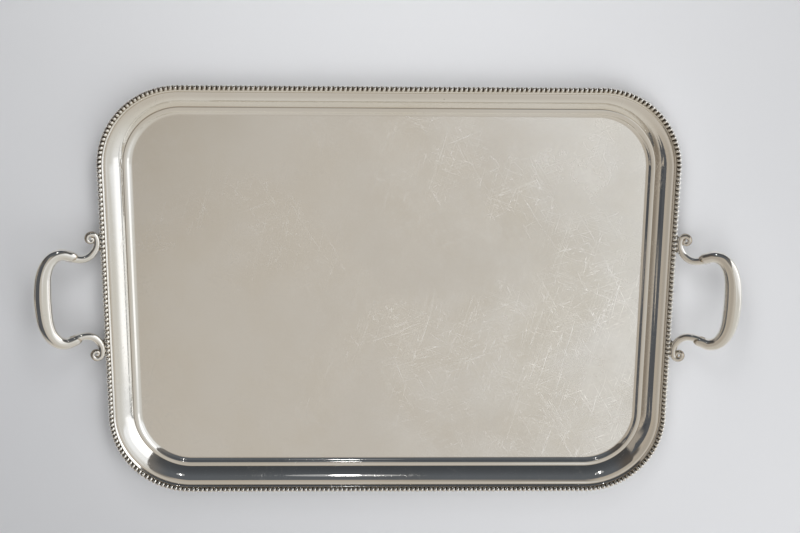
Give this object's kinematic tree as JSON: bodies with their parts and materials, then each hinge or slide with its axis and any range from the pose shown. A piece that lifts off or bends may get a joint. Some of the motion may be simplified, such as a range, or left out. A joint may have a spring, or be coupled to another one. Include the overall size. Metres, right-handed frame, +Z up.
{
  "type": "two-handled serving tray",
  "caption": "Rectangular silver serving tray with rounded corners, moulded rim, beaded border and two cast scroll handles.",
  "frame": {"origin": "centre of the underside of the well, where the tray rests", "axes": "+Z up, +X from the left handle to the right handle, +Y towards the rear edge"},
  "size_m": [0.6806, 0.41, 0.0454],
  "materials": {
    "sheet_silver": "polished silver, finely scratched in the well",
    "bead_silver": "polished silver beads, oxidised dark in the gaps",
    "cast_silver": "polished cast silver"
  },
  "bodies": {
    "root": {"tray_body": "sheet_silver", "border_right": "bead_silver", "border_rear_right": "bead_silver", "border_rear": "bead_silver", "border_rear_left": "bead_silver", "border_left": "bead_silver", "border_front_left": "bead_silver", "border_front": "bead_silver", "border_front_right": "bead_silver", "right_handle_grip": "cast_silver", "right_handle_scroll_rear": "cast_silver", "right_handle_scroll_front": "cast_silver", "right_handle_shoe_rear": "cast_silver", "right_handle_shoe_front": "cast_silver", "left_handle_grip": "cast_silver", "left_handle_scroll_rear": "cast_silver", "left_handle_scroll_front": "cast_silver", "left_handle_shoe_rear": "cast_silver", "left_handle_shoe_front": "cast_silver"}
  },
  "joints": []
}
